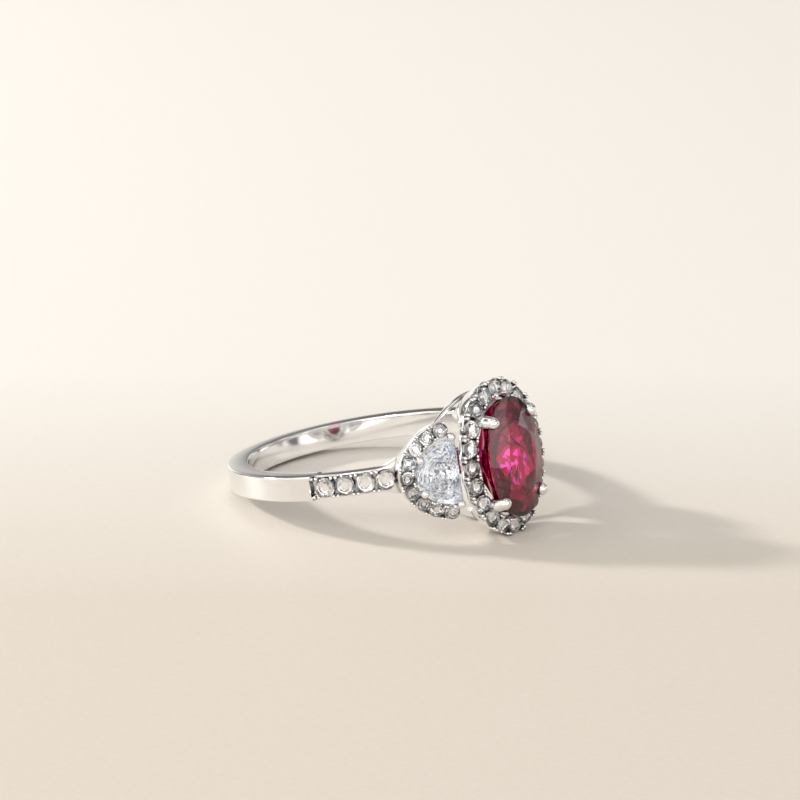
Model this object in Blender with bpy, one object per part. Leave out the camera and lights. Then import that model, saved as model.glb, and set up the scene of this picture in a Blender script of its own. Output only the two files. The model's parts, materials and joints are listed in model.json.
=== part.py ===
"""A white-gold three-stone ring, lying on its side on a flat surface.

In the ring's own frame the finger axis is Z and the centre stone looks along +X. Each head (the centre
one and the two half-moon ones) has a frame of its own at the ring's centre: its +Z is the way its stone
looks, its Y is the finger axis, and a side head's +X points towards the centre stone.
"""

import math

import bmesh
import bpy
import numpy as np
from mathutils import Matrix, Vector

MM = 0.001
CLEARANCE = 0.03 * MM

# The band: a flat hoop, cut down where stones are set and thinner where it passes under the heads.
BORE_RADIUS = 8.25 * MM
BAND_THICKNESS = 1.42 * MM
BAND_WIDTH = 1.6 * MM
BAND_EDGE = 0.16 * MM
PAVE_CUT = 0.22 * MM
BRIDGE_THICKNESS = 0.9 * MM
SHOULDER_WIDTH = 2.0 * MM
BRIDGE_ANGLE = math.radians(37.0)
FLARE_ANGLE = math.radians(44.0)
PAVE_ANGLE = math.radians(73.0)
SHOULDER_STONE = 1.18 * MM
SHOULDER_STONE_COUNT = 4
FIRST_SHOULDER_STONE = math.radians(43.6)
SHOULDER_PITCH = math.radians(7.95)

# The ruby: a deep oval, raised over its halo.
RUBY_HALF_WIDTH = 2.5 * MM
RUBY_HALF_LENGTH = 3.9 * MM
RUBY_GIRDLE = 12.22 * MM
RUBY_CROWN = 0.62 * MM
RUBY_PAVILION = 2.5 * MM

# The oval halo: its stones' centre line, the gold under them and the wall round them.
HALO_HALF_WIDTH = 3.25 * MM
HALO_HALF_LENGTH = 4.49 * MM
HALO_TOP = 11.38 * MM
HALO_RIM = 0.57 * MM
HALO_LEAN = math.radians(16.0)
HALO_STONE = 1.06 * MM
HALO_SIDE_PITCH = 1.25 * MM
HALO_END_PITCH = 1.17 * MM
STONES_PER_GROUP = 5
HALO_LIP = 0.9 * MM
RIM_DROP = 0.24 * MM
WALL_AT_SIDES = 0.35 * MM
WALL_AT_ENDS = 2.15 * MM
WALL_TAPER = math.radians(19.0)
SKIRT = 0.38 * MM
WINDOW_HALF_LENGTH = 0.85 * MM
WINDOW_HALF_HEIGHT = 0.33 * MM
WINDOW_TURN = math.radians(25.0)
WINDOW_SILL = 0.25 * MM

# The ruby's basket and claws. A claw's places are measured in from the middle line of the halo.
BASKET_FOOT = BORE_RADIUS + BRIDGE_THICKNESS + CLEARANCE
BASKET_TOP = 10.4 * MM
BASKET_HALF_WIDTH = 2.32 * MM
BASKET_HALF_LENGTH = 3.36 * MM
BASKET_WINDOW_HALF_LENGTH = 1.1 * MM
BASKET_WINDOW_HALF_HEIGHT = 0.32 * MM
CLAW_RADIUS = 0.21 * MM
CLAW_TIP_RADIUS = 0.4 * MM
CLAW_TOP = 12.8 * MM
CLAW_FOOT_INSET = 0.92 * MM
CLAW_STEM_INSET = 0.42 * MM
CLAW_BEND = 10.5 * MM

# The side heads: a half-moon diamond with a crescent halo round its curved side.
SIDE_HEAD_ANGLE = math.radians(33.7)
MOON_CENTRE = 2.88 * MM
MOON_DEPTH = 2.8 * MM
MOON_HALF_LENGTH = 2.17 * MM
MOON_FLAT = 2.72 * MM
MOON_GIRDLE = 10.72 * MM
MOON_CROWN = 0.38 * MM
MOON_PAVILION = 1.35 * MM
CRESCENT_DEPTH = 3.36 * MM
CRESCENT_HALF_LENGTH = 2.73 * MM
CRESCENT_TOP = 10.5 * MM
CRESCENT_THICKNESS = 0.65 * MM
CRESCENT_STONE = 0.9 * MM
CRESCENT_STONE_COUNT = 9
CRESCENT_PITCH = 1.0 * MM
CRESCENT_LEAN = math.radians(13.0)
CRESCENT_REACH = math.radians(88.0)
MOON_CLAW_RADIUS = 0.26 * MM
MOON_CLAW_HEIGHT = 0.45 * MM
MOON_CLAW_SET_BACK = 0.14 * MM
RAIL_LEVEL = 9.1 * MM
RAIL_WIDTH = 0.42 * MM
RAIL_OUTSET = 0.3 * MM
POST_RADIUS = 0.17 * MM
POST_ANGLES = (math.radians(38.0), math.radians(72.0))

# The stones' proportions, as parts of a round stone's diameter.
TABLE = 0.56
CROWN = 0.16
PAVILION = 0.4
GIRDLE = 0.02
CULET = 0.05
STONE_SIDES = 8
BEAD_RADIUS = 0.15 * MM
BEAD_HEIGHT = 0.24 * MM
SHOULDER_BEAD_ASIDE = 0.56 * MM
OUTER_BEAD_INSET = -0.41 * MM
INNER_BEAD_INSET = 0.41 * MM
CRESCENT_OUTER_BEAD_INSET = -0.38 * MM
CRESCENT_INNER_BEAD_INSET = 0.36 * MM


def clear_scene():
    for old in list(bpy.data.objects):
        bpy.data.objects.remove(old, do_unlink=True)


def make_material(name, colour, metallic, roughness, transmission, refraction):
    material = bpy.data.materials.new(name)
    material.use_nodes = True
    shader = material.node_tree.nodes["Principled BSDF"]
    shader.inputs["Base Color"].default_value = (*colour, 1.0)
    shader.inputs["Metallic"].default_value = metallic
    shader.inputs["Roughness"].default_value = roughness
    shader.inputs["Transmission Weight"].default_value = transmission
    shader.inputs["IOR"].default_value = refraction
    return material


def add_object(name, shape, material, parent, placed=Matrix()):
    """The bmesh as an object of this name, its faces pointing out, shaded smooth up to 35 degrees."""
    bmesh.ops.recalc_face_normals(shape, faces=shape.faces)
    mesh = bpy.data.meshes.new(name)
    shape.to_mesh(mesh)
    shape.free()
    mesh.shade_smooth()
    mesh.set_sharp_from_angle(angle=math.radians(35.0))
    mesh.materials.append(material)
    return place_mesh(name, mesh, parent, placed)


def place_mesh(name, mesh, parent, placed=Matrix()):
    obj = bpy.data.objects.new(name, mesh)
    bpy.context.scene.collection.objects.link(obj)
    obj.parent = parent
    obj.matrix_basis = placed
    return obj


def add_helper(name, shape, parent):
    """A solid that only cuts or adds to another: it isn't a piece of the ring."""
    helper = add_object(name, shape, None, parent)
    helper.hide_render = True
    helper.display_type = "WIRE"
    return helper


def combine(obj, helper, operation):
    modifier = obj.modifiers.new(helper.name, "BOOLEAN")
    modifier.operation = operation
    modifier.solver = "EXACT"
    modifier.object = helper


def add_frame(name, parent, placed=Matrix()):
    empty = bpy.data.objects.new(name, None)
    bpy.context.scene.collection.objects.link(empty)
    empty.parent = parent
    empty.matrix_basis = placed
    return empty


def outward_frame(angle, turned=False):
    """Looks out from the ring's centre at this angle round the band: Z out, Y along the finger axis."""
    centre = Matrix(((0, 0, 1, 0), (1, 0, 0, 0), (0, 1, 0, 0), (0, 0, 0, 1)))
    half_turn = Matrix.Rotation(math.pi if turned else 0.0, 4, "Z")
    return Matrix.Rotation(angle, 4, "Z") @ centre @ half_turn


def add_skin(shape, loops, cyclic):
    """Joins equal loops of points with faces, one after the other, and closes both ends unless cyclic."""
    rings = [[shape.verts.new(point) for point in loop] for loop in loops]
    followers = rings[1:] + rings[:1] if cyclic else rings[1:]
    for ring, follower in zip(rings, followers):
        for i in range(len(ring)):
            j = (i + 1) % len(ring)
            shape.faces.new((ring[i], ring[j], follower[j], follower[i]))
    if not cyclic:
        shape.faces.new(rings[0])
        shape.faces.new(rings[-1])


def add_stack(shape, outline, levels, placed=Matrix()):
    """One outline repeated level by level, at each level's scale and height."""
    loops = [
        [placed @ Vector((x * scale, y * scale, height)) for x, y in outline]
        for scale, height in levels
    ]
    add_skin(shape, loops, cyclic=False)


def ellipse(half_x, half_y, sides):
    angles = [math.tau * i / sides for i in range(sides)]
    return [(half_x * math.cos(angle), half_y * math.sin(angle)) for angle in angles]


def ellipse_outward(half_x, half_y, angle):
    """The unit vector square to the ellipse at this angle."""
    return Vector((math.cos(angle) / half_x, math.sin(angle) / half_y)).normalized()


def angle_at_arc(half_x, half_y, arc):
    """The ellipse's angle where its length from angle 0 reaches this arc."""
    angles = np.linspace(-math.tau, math.tau, 4001)
    points = np.stack([half_x * np.cos(angles), half_y * np.sin(angles)], axis=1)
    steps = np.linalg.norm(np.diff(points, axis=0), axis=1)
    lengths = np.concatenate([[0.0], np.cumsum(steps)])
    lengths -= np.interp(0.0, angles, lengths)
    return float(np.interp(arc, lengths, angles))


def quarter_arc(half_x, half_y):
    angles = np.linspace(0.0, math.pi / 2, 501)
    points = np.stack([half_x * np.cos(angles), half_y * np.sin(angles)], axis=1)
    return float(np.linalg.norm(np.diff(points, axis=0), axis=1).sum())


def add_tube(shape, path, radii, sides):
    """A round bar along a path that stays in one upright plane, with this radius at each point."""
    loops = []
    across = Vector((path[0].y - path[-1].y, path[-1].x - path[0].x, 0.0)).normalized()
    for i, (point, radius) in enumerate(zip(path, radii)):
        along = (path[min(i + 1, len(path) - 1)] - path[max(i - 1, 0)]).normalized()
        other = along.cross(across)
        turns = [math.tau * k / sides for k in range(sides)]
        loops.append([point + radius * (math.cos(t) * across + math.sin(t) * other) for t in turns])
    add_skin(shape, loops, cyclic=False)


def round_stone_levels(diameter):
    radius = diameter / 2
    return [
        (CULET * radius, -PAVILION * diameter),
        (radius, -GIRDLE * diameter),
        (radius, GIRDLE * diameter),
        (TABLE * radius, (GIRDLE + CROWN) * diameter),
    ]


def make_round_stone(name, diameter, material):
    shape = bmesh.new()
    add_stack(shape, ellipse(1.0, 1.0, STONE_SIDES), round_stone_levels(diameter))
    bmesh.ops.recalc_face_normals(shape, faces=shape.faces)
    mesh = bpy.data.meshes.new(name)
    shape.to_mesh(mesh)
    shape.free()
    mesh.materials.append(material)
    return mesh


def add_seat(shape, diameter, placed):
    """The cone that a round stone's seat is drilled with, open above its girdle."""
    radius = diameter / 2 + CLEARANCE
    levels = [
        (CULET * radius + CLEARANCE, -PAVILION * diameter - CLEARANCE),
        (radius, -GIRDLE * diameter - CLEARANCE),
        (radius, diameter / 2),
    ]
    add_stack(shape, ellipse(1.0, 1.0, STONE_SIDES), levels, placed)


def add_bead(shape, placed):
    """A small domed bead of gold, rooted well below the surface it rises from."""
    levels = [
        (BEAD_RADIUS, -BEAD_HEIGHT),
        (BEAD_RADIUS, 0.6 * BEAD_HEIGHT),
        (0.6 * BEAD_RADIUS, BEAD_HEIGHT),
    ]
    add_stack(shape, ellipse(1.0, 1.0, 6), levels, placed)


# ---------------------------------------------------------------- shank


def band_outer_radius(angle):
    """How far out the band reaches at this angle from the centre stone."""
    if abs(angle) < BRIDGE_ANGLE:
        return BORE_RADIUS + BRIDGE_THICKNESS
    if abs(angle) < PAVE_ANGLE:
        return BORE_RADIUS + BAND_THICKNESS - PAVE_CUT
    return BORE_RADIUS + BAND_THICKNESS


def band_half_width(angle):
    """The band's sides flare out a little just before they meet a side head."""
    rise = (FLARE_ANGLE - abs(angle)) / (FLARE_ANGLE - BRIDGE_ANGLE)
    rise = min(max(rise, 0.0), 1.0) if abs(angle) >= BRIDGE_ANGLE else 0.0
    return (BAND_WIDTH + (SHOULDER_WIDTH - BAND_WIDTH) * rise * rise) / 2


def band_section(angle, outer, half):
    """The band's section: square at the bore, with its outer edges taken off."""
    corners = (
        (BORE_RADIUS, -half),
        (outer - BAND_EDGE, -half),
        (outer, -half + BAND_EDGE),
        (outer, half - BAND_EDGE),
        (outer - BAND_EDGE, half),
        (BORE_RADIUS, half),
    )
    return [Vector((r * math.cos(angle), r * math.sin(angle), z)) for r, z in corners]


def band_angles():
    """Even steps round the band, with a pair of close ones at each step in its thickness."""
    step = math.radians(0.4)
    angles = [math.tau * i / 80 - math.pi for i in range(80)]
    for edge in (BRIDGE_ANGLE, PAVE_ANGLE):
        for side in (-1, 1):
            angles = [angle for angle in angles if abs(angle - side * edge) > 2 * step]
            angles += [side * edge - step / 2, side * edge + step / 2]
    return sorted(angles)


def shoulder_angles():
    return [FIRST_SHOULDER_STONE + i * SHOULDER_PITCH for i in range(SHOULDER_STONE_COUNT)]


def shoulder_seat(angle, turned):
    floor = BORE_RADIUS + BAND_THICKNESS - PAVE_CUT
    return outward_frame(angle, turned) @ Matrix.Translation((0.0, 0.0, floor))


def make_shank(gold, ring):
    shape = bmesh.new()
    loops = [band_section(a, band_outer_radius(a), band_half_width(a)) for a in band_angles()]
    add_skin(shape, loops, cyclic=True)
    shank = add_object("shank", shape, gold, ring)
    seats = bmesh.new()
    beads = bmesh.new()
    for side in (-1, 1):
        for angle in shoulder_angles():
            add_seat(seats, SHOULDER_STONE, shoulder_seat(side * angle, side > 0))
        for i in range(SHOULDER_STONE_COUNT):
            between = FIRST_SHOULDER_STONE + (i + 0.5) * SHOULDER_PITCH
            for edge in (-1, 1):
                aside = Matrix.Translation((0.0, edge * SHOULDER_BEAD_ASIDE, 0.0))
                add_bead(beads, shoulder_seat(side * between, side > 0) @ aside)
    combine(shank, add_helper("shank_seats", seats, ring), "DIFFERENCE")
    combine(shank, add_helper("shank_beads", beads, ring), "UNION")


def make_shoulder_stones(diamond, ring):
    mesh = make_round_stone("shoulder_diamond", SHOULDER_STONE, diamond)
    for side, word in ((-1, "right"), (1, "left")):
        for i, angle in enumerate(shoulder_angles()):
            name = f"{word}_shoulder_diamond_{i + 1}"
            place_mesh(name, mesh, ring, shoulder_seat(side * angle, side > 0))


# ---------------------------------------------------------------- centre head


def halo_angles():
    """Where the halo's stones sit: a group on each side and a group at each end, claws between them."""
    quarter = quarter_arc(HALO_HALF_WIDTH, HALO_HALF_LENGTH)
    arcs = []
    for group in range(4):
        pitch = HALO_END_PITCH if group % 2 else HALO_SIDE_PITCH
        for i in range(STONES_PER_GROUP):
            arcs.append(group * quarter + (i - STONES_PER_GROUP // 2) * pitch)
    return [angle_at_arc(HALO_HALF_WIDTH, HALO_HALF_LENGTH, arc) for arc in arcs]


def halo_place(angle, inset, height):
    """A frame on the halo, this far inside its centre line, leaning outward as its top face does."""
    outward = ellipse_outward(HALO_HALF_WIDTH, HALO_HALF_LENGTH, angle)
    x = HALO_HALF_WIDTH * math.cos(angle) - inset * outward.x
    y = HALO_HALF_LENGTH * math.sin(angle) - inset * outward.y
    turn = Matrix.Rotation(math.atan2(outward.y, outward.x), 4, "Z")
    lean = Matrix.Rotation(HALO_LEAN, 4, "Y")
    return Matrix.Translation((x, y, height)) @ turn @ lean


def claw_angle():
    """Midway between a side group's last stone and an end group's first one."""
    quarter = quarter_arc(HALO_HALF_WIDTH, HALO_HALF_LENGTH)
    reach = STONES_PER_GROUP // 2
    arc = (reach * HALO_SIDE_PITCH + quarter - reach * HALO_END_PITCH) / 2
    return angle_at_arc(HALO_HALF_WIDTH, HALO_HALF_LENGTH, arc)


def claw_angles():
    angle = claw_angle()
    return (angle, math.pi - angle, math.pi + angle, -angle)


def wall_depth(angle):
    """Shallow beside the side heads, deep round the oval's two ends, with a smooth step between."""
    rise = min(max((abs(math.sin(angle)) - 0.58) / 0.24, 0.0), 1.0)
    smooth = rise * rise * (3 - 2 * rise)
    return WALL_AT_SIDES + (WALL_AT_ENDS - WALL_AT_SIDES) * smooth


def halo_section(angle):
    """Across the halo: the ruby's bearing lip, a sloping top, the polished wall and its foot."""
    depth = wall_depth(angle)
    foot = HALO_RIM - depth * math.tan(WALL_TAPER)
    rim_level = HALO_TOP - RIM_DROP
    underside = HALO_TOP - 0.52 * MM
    return (
        (-0.52 * MM, HALO_TOP + 0.13 * MM),
        (HALO_RIM - 0.08 * MM, HALO_TOP - 0.15 * MM),
        (HALO_RIM, rim_level),
        (foot, rim_level - depth),
        (foot - SKIRT, rim_level - depth),
        (-0.3 * MM, underside - 0.04 * MM),
        (-HALO_LIP, underside),
        (-HALO_LIP, rim_level),
    )


def add_wall_window(shape, angle):
    """A long opening through the wall, just above its foot, as seen square on to the oval here."""
    outward = ellipse_outward(HALO_HALF_WIDTH, HALO_HALF_LENGTH, angle)
    x = HALO_HALF_WIDTH * math.cos(angle)
    y = HALO_HALF_LENGTH * math.sin(angle)
    level = HALO_TOP - RIM_DROP - WALL_AT_ENDS + WINDOW_SILL + WINDOW_HALF_HEIGHT
    turn = Matrix.Rotation(math.atan2(outward.y, outward.x), 4, "Z")
    sideways = Matrix.Rotation(math.pi / 2, 4, "Y")
    placed = Matrix.Translation((x, y, level)) @ turn @ sideways
    outline = ellipse(WINDOW_HALF_HEIGHT, WINDOW_HALF_LENGTH, 14)
    add_stack(shape, outline, ((1.0, -0.7 * MM), (1.0, MM)), placed)


def add_oval_ring(shape, half_sizes, section_at, steps):
    """A closed ring on an oval, with section_at's (outward, height) points at each angle."""
    loops = []
    for i in range(steps):
        angle = math.tau * i / steps
        outward = ellipse_outward(*half_sizes, angle)
        x = half_sizes[0] * math.cos(angle)
        y = half_sizes[1] * math.sin(angle)
        loops.append([Vector((x + d * outward.x, y + d * outward.y, h)) for d, h in section_at(angle)])
    add_skin(shape, loops, cyclic=True)


def halo_beads():
    """A bead at each edge of the halo between neighbouring stones, none inside where a claw passes."""
    beads = bmesh.new()
    angles = halo_angles()
    for i, angle in enumerate(angles):
        following = angles[i + 1] if i + 1 < len(angles) else angles[0] + math.tau
        between = (angle + following) / 2
        add_bead(beads, halo_place(between, OUTER_BEAD_INSET, HALO_TOP))
        if (i + 1) % STONES_PER_GROUP:
            add_bead(beads, halo_place(between, INNER_BEAD_INSET, HALO_TOP))
    return beads


def make_halo(gold, head):
    shape = bmesh.new()
    add_oval_ring(shape, (HALO_HALF_WIDTH, HALO_HALF_LENGTH), halo_section, 56)
    halo = add_object("ruby_halo", shape, gold, head)
    seats = bmesh.new()
    for angle in halo_angles():
        add_seat(seats, HALO_STONE, halo_place(angle, 0.0, HALO_TOP))
    slots = bmesh.new()
    for angle in claw_angles():
        stem = claw_line(angle)
        add_tube(slots, stem, [CLAW_RADIUS + 2 * CLEARANCE] * len(stem), 8)
    windows = bmesh.new()
    for end in (-math.pi / 2, math.pi / 2):
        for side in (-1, 1):
            add_wall_window(windows, end + side * WINDOW_TURN)
    combine(halo, add_helper("halo_seats", seats, head), "DIFFERENCE")
    combine(halo, add_helper("halo_slots", slots, head), "DIFFERENCE")
    combine(halo, add_helper("halo_windows", windows, head), "DIFFERENCE")
    combine(halo, add_helper("halo_beads", halo_beads(), head), "UNION")


def make_halo_stones(diamond, head):
    mesh = make_round_stone("halo_diamond", HALO_STONE, diamond)
    for i, angle in enumerate(halo_angles()):
        place_mesh(f"halo_diamond_{i + 1:02d}", mesh, head, halo_place(angle, 0.0, HALO_TOP))


def ruby_levels(clearance):
    girdle = 0.08 * MM + clearance
    return [
        (CULET, -RUBY_PAVILION - clearance),
        (0.62, -0.7 * RUBY_PAVILION),
        (0.95, -0.34 * RUBY_PAVILION),
        (1.0, -girdle),
        (1.0, girdle),
        (0.8, 0.62 * RUBY_CROWN),
        (0.53, RUBY_CROWN + clearance),
    ]


def ruby_shape(clearance):
    outline = ellipse(RUBY_HALF_WIDTH + clearance, RUBY_HALF_LENGTH + clearance, 24)
    shape = bmesh.new()
    add_stack(shape, outline, ruby_levels(clearance), Matrix.Translation((0, 0, RUBY_GIRDLE)))
    return shape


def point_inside_halo(angle, inset, height):
    """A point this far in from the halo's middle line, abreast of this angle of it."""
    outward = ellipse_outward(HALO_HALF_WIDTH, HALO_HALF_LENGTH, angle)
    x = HALO_HALF_WIDTH * math.cos(angle) - inset * outward.x
    y = HALO_HALF_LENGTH * math.sin(angle) - inset * outward.y
    return Vector((x, y, height))


def claw_line(angle):
    """The claw's slim stem: in against the basket at its foot, upright as it passes the halo."""
    return [
        point_inside_halo(angle, CLAW_FOOT_INSET, BASKET_FOOT + 0.1 * MM),
        point_inside_halo(angle, CLAW_STEM_INSET + 0.12 * MM, CLAW_BEND - 0.4 * MM),
        point_inside_halo(angle, CLAW_STEM_INSET + 0.02 * MM, CLAW_BEND),
        point_inside_halo(angle, CLAW_STEM_INSET, HALO_TOP + 0.2 * MM),
    ]


def claw_tip(angle):
    """The claw's thick round end, which folds in over the ruby's edge."""
    return [
        point_inside_halo(angle, CLAW_STEM_INSET - 0.02 * MM, CLAW_TOP - 0.95 * MM),
        point_inside_halo(angle, CLAW_STEM_INSET, CLAW_TOP - 0.65 * MM),
        point_inside_halo(angle, CLAW_STEM_INSET + 0.08 * MM, CLAW_TOP - 0.35 * MM),
        point_inside_halo(angle, CLAW_STEM_INSET + 0.17 * MM, CLAW_TOP - 0.12 * MM),
        point_inside_halo(angle, CLAW_STEM_INSET + 0.22 * MM, CLAW_TOP),
    ]


def make_claws(gold, head):
    """Four claws, each thickening over the halo and folding its round tip over the ruby's edge."""
    cutter = add_helper("ruby_seat", ruby_shape(CLEARANCE), head)
    words = ("left_upper", "right_upper", "right_lower", "left_lower")
    for word, angle in zip(words, claw_angles()):
        stem = claw_line(angle)
        bulb = [CLAW_TIP_RADIUS * part for part in (0.8, 1.0, 1.0, 0.8, 0.25)]
        shape = bmesh.new()
        add_tube(shape, stem + claw_tip(angle), [CLAW_RADIUS] * len(stem) + bulb, 10)
        claw = add_object(f"ruby_claw_{word}", shape, gold, head)
        combine(claw, cutter, "DIFFERENCE")


def basket_section(_angle):
    """The basket's wall leans out as it rises, and is as thick all the way up."""
    return (
        (-0.72 * MM, BASKET_FOOT),
        (-0.34 * MM, BASKET_FOOT),
        (0.02 * MM, BASKET_TOP),
        (-0.3 * MM, BASKET_TOP),
    )


def make_basket(gold, head):
    """The ruby's open gallery: an oval wall with a long window on each side and at each end."""
    shape = bmesh.new()
    add_oval_ring(shape, (BASKET_HALF_WIDTH, BASKET_HALF_LENGTH), basket_section, 36)
    basket = add_object("ruby_basket", shape, gold, head)
    windows = bmesh.new()
    outline = ellipse(BASKET_WINDOW_HALF_HEIGHT, BASKET_WINDOW_HALF_LENGTH, 12)
    centre = Matrix.Translation((0.0, 0.0, (BASKET_FOOT + BASKET_TOP) / 2))
    for turn in (0.0, math.pi / 2):
        for side in (-1, 1):
            sideways = Matrix.Rotation(turn, 4, "Z") @ Matrix.Rotation(side * math.pi / 2, 4, "Y")
            add_stack(windows, outline, ((1.0, MM), (1.0, 5 * MM)), centre @ sideways)
    combine(basket, add_helper("basket_windows", windows, head), "DIFFERENCE")


# ---------------------------------------------------------------- side heads


def crescent_point(depth, half_length, angle):
    """On a half oval round the half-moon, from one end of its flat side (-90) to the other (+90)."""
    return Vector((MOON_CENTRE - depth * math.cos(angle), half_length * math.sin(angle)))


def crescent_outward(depth, half_length, angle):
    outward = ellipse_outward(depth, half_length, angle)
    return Vector((-outward.x, outward.y))


def crescent_place(angle, inset, height):
    """A frame on the crescent halo, this far inside its centre line, leaning outward with its top."""
    outward = crescent_outward(CRESCENT_DEPTH, CRESCENT_HALF_LENGTH, angle)
    point = crescent_point(CRESCENT_DEPTH, CRESCENT_HALF_LENGTH, angle) - inset * outward
    turn = Matrix.Rotation(math.atan2(outward.y, outward.x), 4, "Z")
    lean = Matrix.Rotation(CRESCENT_LEAN, 4, "Y")
    return Matrix.Translation((point.x, point.y, height)) @ turn @ lean


def crescent_angle(place):
    """The crescent's angle this many stones away from the middle one."""
    return angle_at_arc(CRESCENT_DEPTH, CRESCENT_HALF_LENGTH, place * CRESCENT_PITCH)


def crescent_angles():
    last = (CRESCENT_STONE_COUNT - 1) // 2
    return [crescent_angle(place) for place in range(-last, last + 1)]


def moon_outline(clearance):
    """The half-moon's edge about its own middle: a half oval closed by a straight side."""
    depth = MOON_DEPTH + clearance
    half_length = MOON_HALF_LENGTH + clearance
    cut = math.acos((MOON_CENTRE - MOON_FLAT - clearance) / depth)
    angles = [cut * (2 * i / 16 - 1) for i in range(17)]
    arc = [crescent_point(depth, half_length, angle) for angle in angles]
    middle = MOON_FLAT - 0.45 * MOON_DEPTH
    return [(point.x - middle, point.y) for point in arc]


def moon_shape(clearance):
    girdle = 0.04 * MM + clearance
    levels = [
        (CULET, -MOON_PAVILION - clearance),
        (0.62, -0.58 * MOON_PAVILION),
        (1.0, -girdle),
        (1.0, girdle),
        (0.68, MOON_CROWN + clearance),
    ]
    middle = MOON_FLAT - 0.45 * MOON_DEPTH
    shape = bmesh.new()
    add_stack(shape, moon_outline(clearance), levels, Matrix.Translation((middle, 0, MOON_GIRDLE)))
    return shape


def moon_claw_places():
    """Two claws on the curved side, between halo stones, and one at each end of the flat side."""
    places = []
    for side in (-1, 1):
        on_curve = crescent_place(crescent_angle(1.5 * side), 0.44 * MM, 0.0).translation
        places.append(Vector((on_curve.x, on_curve.y)))
        at_end = side * (MOON_HALF_LENGTH + MOON_CLAW_SET_BACK)
        places.append(Vector((MOON_FLAT - MOON_CLAW_SET_BACK, at_end)))
    return places


def crescent_section():
    """Across the crescent halo: a sloping top with its outer edge broken, and a flat underside."""
    return (
        (-0.48 * MM, CRESCENT_TOP + 0.1 * MM),
        (0.5 * MM, CRESCENT_TOP - 0.13 * MM),
        (0.58 * MM, CRESCENT_TOP - 0.22 * MM),
        (0.5 * MM, CRESCENT_TOP - CRESCENT_THICKNESS),
        (-0.48 * MM, CRESCENT_TOP - CRESCENT_THICKNESS),
    )


def crescent_body():
    loops = []
    steps = 28
    for i in range(steps + 1):
        angle = CRESCENT_REACH * (2 * i / steps - 1)
        outward = crescent_outward(CRESCENT_DEPTH, CRESCENT_HALF_LENGTH, angle)
        point = crescent_point(CRESCENT_DEPTH, CRESCENT_HALF_LENGTH, angle)
        loops.append([(*(point + d * outward), h) for d, h in crescent_section()])
    shape = bmesh.new()
    add_skin(shape, loops, cyclic=False)
    return shape


def crescent_beads():
    """Beads at both edges between neighbouring stones, but for the two inner places of the moon's claws."""
    beads = bmesh.new()
    for i in range(CRESCENT_STONE_COUNT - 1):
        place = i + 0.5 - (CRESCENT_STONE_COUNT - 1) / 2
        between = crescent_angle(place)
        add_bead(beads, crescent_place(between, CRESCENT_OUTER_BEAD_INSET, CRESCENT_TOP))
        if abs(place) != 1.5:
            add_bead(beads, crescent_place(between, CRESCENT_INNER_BEAD_INSET, CRESCENT_TOP))
    return beads


def moon_claws():
    claws = bmesh.new()
    tip = MOON_GIRDLE + MOON_CLAW_HEIGHT
    levels = (
        (0.5 * MOON_CLAW_RADIUS, CRESCENT_TOP - 0.5 * CRESCENT_THICKNESS),
        (0.5 * MOON_CLAW_RADIUS, MOON_GIRDLE),
        (MOON_CLAW_RADIUS, MOON_GIRDLE + 0.4 * MOON_CLAW_HEIGHT),
        (0.9 * MOON_CLAW_RADIUS, tip - 0.1 * MM),
        (0.45 * MOON_CLAW_RADIUS, tip),
    )
    for place in moon_claw_places():
        add_stack(claws, ellipse(1.0, 1.0, 8), levels, Matrix.Translation((*place, 0.0)))
    return claws


def make_crescent(word, gold, head):
    """The crescent halo, cast with the half-moon's four claws."""
    crescent = add_object(f"{word}_halo", crescent_body(), gold, head)
    seats = bmesh.new()
    for angle in crescent_angles():
        add_seat(seats, CRESCENT_STONE, crescent_place(angle, 0.0, CRESCENT_TOP))
    combine(crescent, add_helper(f"{word}_seats", seats, head), "DIFFERENCE")
    combine(crescent, add_helper(f"{word}_beads", crescent_beads(), head), "UNION")
    combine(crescent, add_helper(f"{word}_claws", moon_claws(), head), "UNION")
    combine(crescent, add_helper(f"{word}_moon_seat", moon_shape(CLEARANCE), head), "DIFFERENCE")


def make_side_basket(word, gold, head):
    """The open rail under a crescent halo, from the band's flank round to the back, with its posts."""
    depth = CRESCENT_DEPTH + RAIL_OUTSET
    half_length = CRESCENT_HALF_LENGTH + RAIL_OUTSET
    start = math.asin((SHOULDER_WIDTH / 2 + 0.25 * MM) / half_length)
    steps = [start + (math.pi / 2 - start) * i / 12 for i in range(13)]
    angles = steps + [-angle for angle in reversed(steps)]
    loops = []
    for angle in angles:
        outward = crescent_outward(depth, half_length, angle)
        if abs(angle) == steps[-1]:
            outward = Vector((1.0, math.copysign(1.0, angle)))
        point = crescent_point(depth, half_length, angle)
        near = point - RAIL_WIDTH / 2 * outward
        far = point + RAIL_WIDTH / 2 * outward
        low = RAIL_LEVEL - RAIL_WIDTH / 2
        high = RAIL_LEVEL + RAIL_WIDTH / 2
        loops.append([(*near, low), (*far, low), (*far, high), (*near, high)])
    shape = bmesh.new()
    add_skin(shape, loops, cyclic=False)
    basket = add_object(f"{word}_basket", shape, gold, head)
    posts = bmesh.new()
    top = CRESCENT_TOP - CRESCENT_THICKNESS - CLEARANCE
    for angle in POST_ANGLES:
        for side in (-1, 1):
            point = crescent_point(depth, half_length, side * angle)
            levels = ((POST_RADIUS, RAIL_LEVEL), (POST_RADIUS, top))
            add_stack(posts, ellipse(1.0, 1.0, 8), levels, Matrix.Translation((*point, 0.0)))
    combine(basket, add_helper(f"{word}_posts", posts, head), "UNION")


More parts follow.
